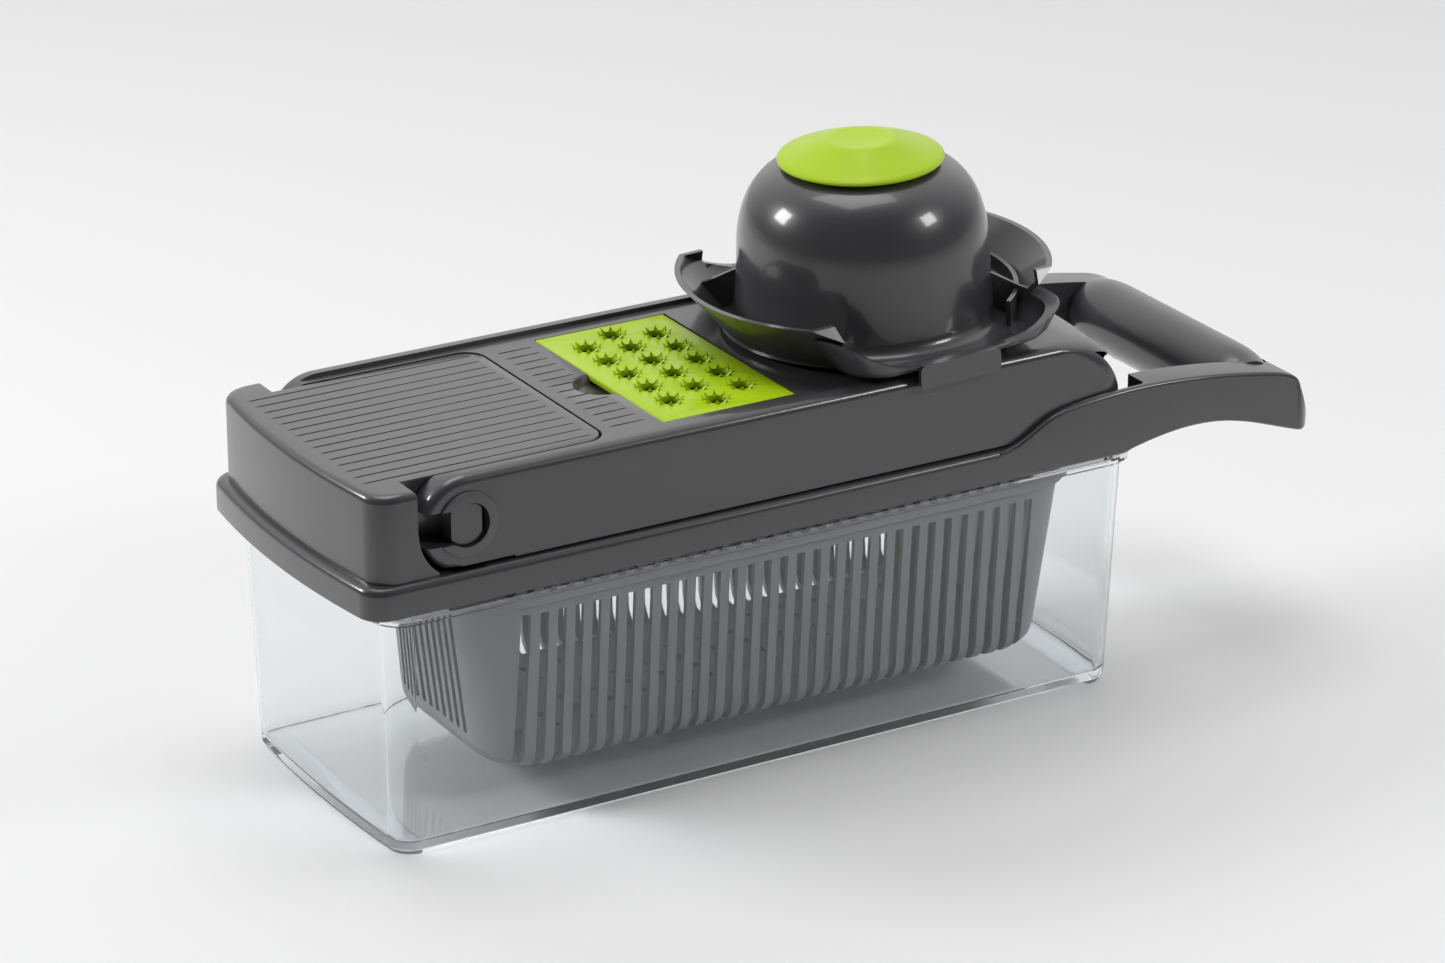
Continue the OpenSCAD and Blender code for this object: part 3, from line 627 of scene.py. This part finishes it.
ready(make_head(), "head", dark_gloss, "dark_plastic", "base_frame", "grip_cover")


# ---- press lid ----

# the lid's rounded long edge: depth below its top and half width there
LID_EDGE = [(3.0, 57.4), (2.2, 57.28), (1.5, 57.0), (0.9, 56.5), (0.4, 55.8), (0.1, 54.9), (0.0, 53.9)]
SHOULDER_Z = 112    # above this the corners at the handle end grow rounder


def lid_lean(z):
    """How far the lid's side walls have leant in at one height: 1 mm in 31."""
    return max(0.0, z - LID_FOOT) / 31


def nose_ring(inset, y):
    """Side view of the hinge end at one y: a round nose about the hinge."""
    side = 1 if y > 0 else -1
    # a hair inside the lid's own top, foot and walls, so that no faces coincide
    foot = LID_FOOT + 0.05 + inset * 0.2
    points = (arc(PIVOT_X, PIVOT_Z, 16.48 - inset, 90, 243, 28)
              + [(-117, foot), (-92, foot), (-92, 131.48 - inset)])
    return [spot(x, y - side * (lid_lean(z) + 0.02), z) for x, z in points]


def lid_drop():
    """Reach of the lid at each height, from its foot up the drop to its top."""
    return [(147.0, LID_FOOT)] + curve((147, 112), (146.4, 122.5), (138, 131.4), (120, 131.9), 22)


def lid_level(x, z):
    """Plan of the lid at one height, square at the hinge end."""
    half = read_off(LID_EDGE, LID_TOP - z) - lid_lean(z)
    rise = max(0.0, z - SHOULDER_Z) / 20
    plan = bowed_end(x, half, 5, 10 + 5 * rise, 14, 14)
    return level([(-98, -half)] + plan + [(-98, half)], z)


def make_lid():
    # levels at the points of the drop and of the rounded edge, and one at the top
    reach = [(z, x) for x, z in lid_drop()]
    heights = {round(z, 3) for z, _ in reach if z < 131.45}
    heights |= {round(LID_TOP - depth, 3) for depth, _ in LID_EDGE if depth > 0.05}
    lid = loft("press_lid_form", [lid_level(read_off(reach, z), z) for z in sorted(heights) + [LID_TOP]])
    rings = [nose_ring(i, -y) for i, y in LID_EDGE] + [nose_ring(i, y) for i, y in reversed(LID_EDGE)]
    combine(lid, loft("nose", rings), "UNION")
    combine(lid, on_hinge("ring", [(11.4, 55), (11.3, 57.2), (11.0, 57.6), (10.6, 57.7)]), "UNION")
    # deck between the side rails
    deck = tongue(-150, 98, 50.2, 5, 8)
    wide = tongue(-150, 98.6, 50.8, 5, 8)
    combine(lid, loft("deck", [level(deck, DECK_Z), level(wide, 131.8), level(wide, 135)]))
    # hollow underside, with the seat of the insert and the boss of the finger notch left in it
    inner = [(144.8, LID_FOOT)] + curve((144.8, 112), (144.2, 121), (136, 127.4), (118, 127.6), 12)
    hollow = [(-102, 98), (144.8, 98)] + inner + [(-102, 127.6)]
    combine(lid, loft("hollow", [upright(hollow, -54.6), upright(hollow, 54.6)]))
    combine(lid, box("seat", (-38.4, -47.7, 124), (19.8, 47.7, 128.5)), "UNION")
    combine(lid, turned("boss", [(13, 124.6), (13, 128.5)], cx=NOTCH_X, cy=NOTCH_Y, n=48), "UNION")
    # gap for the ramp, whose end comes closer to it towards the top, then the insert's window
    for z0, z1, grow in ((60, 127.6, 2.6), (127.5, 129.0, 1.3), (128.9, 135, 0.6)):
        combine(lid, loft("tongue_gap", [level(ramp_plan(47.3, -57.2 + grow), z) for z in (z0, z1)]))
    combine(lid, box("window_top", (-35.2, -44.5, 127.7), (16.6, 44.5, 140)))
    combine(lid, box("window_low", (-32.4, -41.7, 100), (13.8, 41.7, 140)))
    cup = [(8.0, 126.6), (8.5, 126.9), (9.8, 129.4), (10.3, 129.8), (10.9, 130.02), (10.9, 134)]
    combine(lid, turned("notch", cup, cx=NOTCH_X, cy=NOTCH_Y, n=64))
    combine(lid, groove_bars([(i + 0.5) * 6 for i in range(-7, 7)], -53.2, -39.2))
    # hinge bore with its side mouth, and a cross wall by the ramp's end
    combine(lid, turned("bore", [(7.7, -70), (7.7, 70)], pivot_spot))
    combine(lid, box("mouth", (-145, -70, 109.1), (-115, 70, 120.9)))
    combine(lid, box("wall", (-61.2, -55.2, 116), (-52.6, 55.2, 127.8)), "UNION")
    combine(lid, loft("tongue_gap", [level(ramp_plan(47.3, -54.6), z) for z in (60, 127.7)]))
    # raised step near the handle end
    step = loft("step", [level(rounded(2.5, 20, 1.2, 4), z, 106.5) for z in (129.5, 134.2)]
                + [level(rounded(2.1, 19.6, 0.9, 4), 134.6, 106.5)])
    combine(lid, step, "UNION")
    return soften(lid)


ready(make_lid(), "lid", dark_gloss, "dark_plastic", "press_lid")


# ---- grater insert ----

TOOTH = (0.03, 0.03, 0.08, 0.7, 1.45, 0.7, 0.08, 0.03)    # rise of the rim along one tooth, in mm


def hole_centres():
    """Sixteen holes in three rows, of which the middle one has a hole more."""
    for col, count in ((-1, 5), (0, 6), (1, 5)):
        for k in range(count):
            yield -9.6 + col * 13.8, (k - (count - 1) / 2) * 14.1


def make_crown():
    """Eight flared teeth round a hole, whose tips lean outwards."""
    sections = []
    for k in range(64):
        a = 2 * math.pi * k / 64
        rise = TOOTH[k % 8]
        out = 4.3 + 0.6 * rise
        thick = 0.7 - 0.24 * rise
        section = [(3.7, 129.4), (4.2, 129.4), (out, DECK_Z + rise), (out - thick, DECK_Z + rise)]
        sections.append([spot(r * math.cos(a), r * math.sin(a), z) for r, z in section])
    return hoop("crown", sections)


def make_insert():
    side = ([(-34.9, 129.6), (-34.9, 128.2), (-34.5, 127.8), (15.2, 127.8)]
            + arc(15.2, 128.9, 1.1, -75, 75, 8)
            + [(15.2, DECK_Z), (-34.5, DECK_Z)])
    plate = loft("insert", [upright(side, y) for y in (-44.2, 44.2)])
    hole = turned("hole", [(3.65, 120), (3.65, 129.3), (3.85, DECK_Z), (4.1, 134)], n=32)
    combine(plate, together(copies(hole, hole_centres())))
    soften(plate, 0.2)
    return soften(together([plate] + copies(make_crown(), hole_centres())))


ready(make_insert(), "grater", lime_gloss, "green_plastic", "grater_insert")


# ---- hand guard ----

TRAY_H = 19                   # height of the tray at its lobes
LOBE_SLOPE = 16 / TRAY_H      # how much the lobes widen as they rise
TRAY_WALL = 2                 # thickness of the tray and the dome


def lobe(side, inset, h0, h1):
    """One end of the tray: part of a cone whose edge falls away at the sides."""
    half = (44.5 if side < 0 else 40) - inset
    cone = turned("lobe", [(GUARD_R + h * LOBE_SLOPE - inset, h) for h in (h0, h1)], guard_spot, n=192)
    section = [(-half - 8, -1), (half + 8, -1), (half + 8, 7), (half, TRAY_H), (half, 60),
               (-half, 60), (-half, TRAY_H), (-half - 8, 7)]
    ends = (0, -90) if side < 0 else (-6, 90)
    keep = loft("keep", [[guard_spot(x, u, v) for u, v in section] for x in ends])
    return combine(cone, keep, "INTERSECT")


def wings(inset, h0, lift):
    """The tray between its lobes, spread over the lid's rails."""
    rings = [(37, 54.4, 14, h0), (39.6, 58.4, 15.2, h0 + 2.4), (41, 60.2, 16, h0 + 4.5),
             (51, 61, 18, TRAY_H + lift)]
    plans = [(rounded(l - inset, w - inset, r - inset, 14), h) for l, w, r, h in rings]
    return loft("wings", [[guard_spot(3 + x, y, h) for x, y in plan] for plan, h in plans])


def wing_edge():
    """What is cut off the wings in side view, which leaves their edges low in the middle."""
    side = ([(-80, 60), (-80, 16)] + curve((-50, 16), (-37, 15.6), (-31, 5), (-15, 3.8), 16)
            + curve((16, 3.8), (28, 4.2), (33, 11), (54, 11.6), 16) + [(80, 11.6), (80, 60)])
    return loft("edge", [[guard_spot(u, y, v) for u, v in side] for y in (-90, 90)])


def dome_form(inset, foot):
    """The dome's outer or inner form on a given foot."""
    shoulder = curve((43.4 - inset, 30), (42.6 - inset, 43),
                     (36.5 - inset, 55.2 - inset), (24 - inset, 56.6 - inset), 20)
    return turned("dome", foot + shoulder, guard_spot, n=128)


def make_guard():
    tray = combine(wings(0, 0.03, 0), wing_edge())
    combine(tray, lobe(-1, 0, 0, TRAY_H), "UNION")
    combine(tray, lobe(1, 0, 0.01, 18.98), "UNION")
    # the tray's inside; heights differ by a hair so that no faces coincide
    combine(tray, lobe(-1, TRAY_WALL, 2, 40))
    combine(tray, lobe(1, TRAY_WALL, 2.01, 41))
    combine(tray, wings(TRAY_WALL, 2.02, 30))
    turns = [math.radians(a) for a in range(15, 91, 15)]
    fillet = [(50.0, 0.05), (50.0, 2.0)] + [(50 - 5 * math.sin(a), 7 - 5 * math.cos(a)) for a in turns]
    combine(tray, dome_form(0, fillet + [(44.4, 12), (43.95, 18), (43.6, 24)]), "UNION")
    ribs = []
    for a in (38, 142, 322):
        c, s = math.cos(math.radians(a)), math.sin(math.radians(a))
        side = [(41.5, 0.5), (48.6, 0.5), (57, 11), (54, 12), (43.4, 17), (41.5, 17)]
        ribs.append(loft("rib", [[guard_spot(r * c - t * s, r * s + t * c, h) for r, h in side]
                                 for t in (-0.8, 0.8)]))
    fence = arc(0, 0, 53.4, -52, 52, 30) + arc(0, 0, 51.8, 52, -52, 30)
    ribs.append(loft("fence", [[guard_spot(x, y, h) for x, y in fence] for h in (1, 11)]))
    for rib in ribs:
        combine(tray, rib, "UNION")
    # hooks that reach down beside the lid's rails
    plan = rounded(16, 4.2, 2.0, 6)
    hooks = [loft("hook", [[guard_spot(1 + u, s * y, v - 0.4) for u, v in plan] for y in (58.4, 60.2)])
             for s in (-1, 1)]
    combine(tray, together(hooks), "UNION")
    # inside of the dome, and the tube that guides the stem
    combine(tray, dome_form(TRAY_WALL, [(43.0, -3), (42.9, 2)]))
    combine(tray, turned("tube", [(11.6, 47.5), (11.6, 55.5)], guard_spot, n=64), "UNION")
    combine(tray, turned("stem_hole", [(9.4, 40), (9.4, 70)], guard_spot, n=64))
    return soften(tray)


ready(make_guard(), "guard", dark_gloss, "dark_plastic", "hand_guard")

knob = turned("knob", [(20, 57.3), (26.6, 57.2), (28.3, 57.5), (28.7, 57.9), (28.7, 58.4), (28.2, 59.0),
                       (27.0, 59.5), (22, 61.1), (16.5, 63.0), (13.2, 64.35), (12.0, 64.78), (11.0, 64.9),
                       (10.0, 64.82), (8.0, 64.6), (3.0, 64.35), (0.2, 64.3)], guard_spot, n=128)
ready(soften(knob), "pusher", lime_gloss, "green_plastic", "pusher_knob")


# ---- CAD nodes that keep their own shape and only get a finish ----

FINISH = {"grip_screws": steel, "dicing_frame": dark_gloss, "dicing_clamp_ring": dark_gloss,
          "dicing_blades_long": steel, "dicing_blades_cross": steel, "pusher_pad": dark_gloss,
          "pusher_stem": basket_grey, "prong_plate": basket_grey, "prong_pins": steel,
          "plunger_screw": steel}
for node, material in FINISH.items():
    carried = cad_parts[node]
    carried.data.materials.clear()
    carried.data.materials.append(material)


# ---- studio ----

BRIGHT_WAY = (0.35, 0.60, 0.72)    # where the room is brightest: overhead, behind and to the right


def studio():
    """A pale floor and room, the room brighter to lens and clear plastic than as a light."""
    deselect()
    bpy.ops.mesh.primitive_plane_add(size=14, location=(0, 0, 0))
    floor = bpy.context.object
    floor.name = "floor"
    mat = bpy.data.materials.new("studio_floor")
    mat.use_nodes = True
    nodes, links = mat.node_tree.nodes, mat.node_tree.links
    bsdf = nodes["Principled BSDF"]
    bsdf.inputs["Base Color"].default_value = (0.86, 0.86, 0.865, 1)
    bsdf.inputs["Roughness"].default_value = 0.5
    floor.data.materials.append(mat)
    # pale room: bright overhead and behind, dimmer on the near side
    world = bpy.data.worlds.new("studio_light")
    bpy.context.scene.world = world
    world.use_nodes = True
    tree = world.node_tree
    air = tree.nodes["Background"]
    toward = tree.nodes.new("ShaderNodeTexCoord")
    lean = tree.nodes.new("ShaderNodeVectorMath")
    lean.operation = "DOT_PRODUCT"
    lean.inputs[1].default_value = Vector(BRIGHT_WAY).normalized()
    tree.links.new(toward.outputs["Generated"], lean.inputs[0])
    glow = tree.nodes.new("ShaderNodeMapRange")
    glow.interpolation_type = "SMOOTHSTEP"
    for label, value in (("From Min", 0.1), ("From Max", 0.95), ("To Min", 0.03), ("To Max", 0.90)):
        glow.inputs[label].default_value = value
    tree.links.new(lean.outputs["Value"], glow.inputs["Value"])
    air.inputs["Color"].default_value = (1, 1, 1, 1)
    tree.links.new(glow.outputs["Result"], air.inputs["Strength"])
    seen = tree.nodes.new("ShaderNodeBackground")
    seen.inputs["Color"].default_value = (0.85, 0.85, 0.86, 1)
    seen.inputs["Strength"].default_value = 1.0
    path = tree.nodes.new("ShaderNodeLightPath")
    straight = larger(tree, path.outputs["Is Camera Ray"], path.outputs["Is Transmission Ray"])
    surface_by_mask(tree, "World Output", straight, air.outputs["Background"], seen.outputs["Background"])


def lamp(name, way, distance, side, power):
    """A square white softbox that faces the slicer's upper part from the given way."""
    aim = Vector((0.0, 0.0, 0.14))
    where = aim + Vector(way).normalized() * distance
    bpy.ops.object.light_add(type="AREA", location=where)
    light = bpy.context.object
    light.name = name
    light.data.shape = "RECTANGLE"
    light.data.size = light.data.size_y = side
    light.data.energy = power
    light.rotation_mode = "QUATERNION"
    light.rotation_quaternion = (aim - where).to_track_quat("-Z", "Y")


studio()
lamp("left_softbox", (-0.76, 0.49, 0.45), 1.6, 0.42, 10.5)
lamp("right_softbox", (0.58, -0.64, 0.52), 1.6, 0.36, 5.8)
lamp("top_softbox", (0.0, 0.12, 1.0), 1.7, 1.1, 10)


# ---- camera ----

CAMERA_TURN, CAMERA_RISE = -30.55, 22.24    # degrees round from the front, and above the floor

camera = bpy.data.objects.new("camera", bpy.data.cameras.new("camera"))
bpy.context.collection.objects.link(camera)
camera.data.sensor_width = 36
camera.data.lens = 131.4
camera.location = (-0.87285, -1.44710, 0.77022)
turn, rise = math.radians(CAMERA_TURN), math.radians(CAMERA_RISE)
back = Vector((math.sin(turn) * math.cos(rise), -math.cos(turn) * math.cos(rise), math.sin(rise)))
camera.rotation_mode = "QUATERNION"
camera.rotation_quaternion = (-back).to_track_quat("-Z", "Y")
camera.data.clip_start, camera.data.clip_end = 0.1, 50
bpy.context.scene.camera = camera

bpy.context.scene.view_settings.view_transform = "Standard"
deselect()
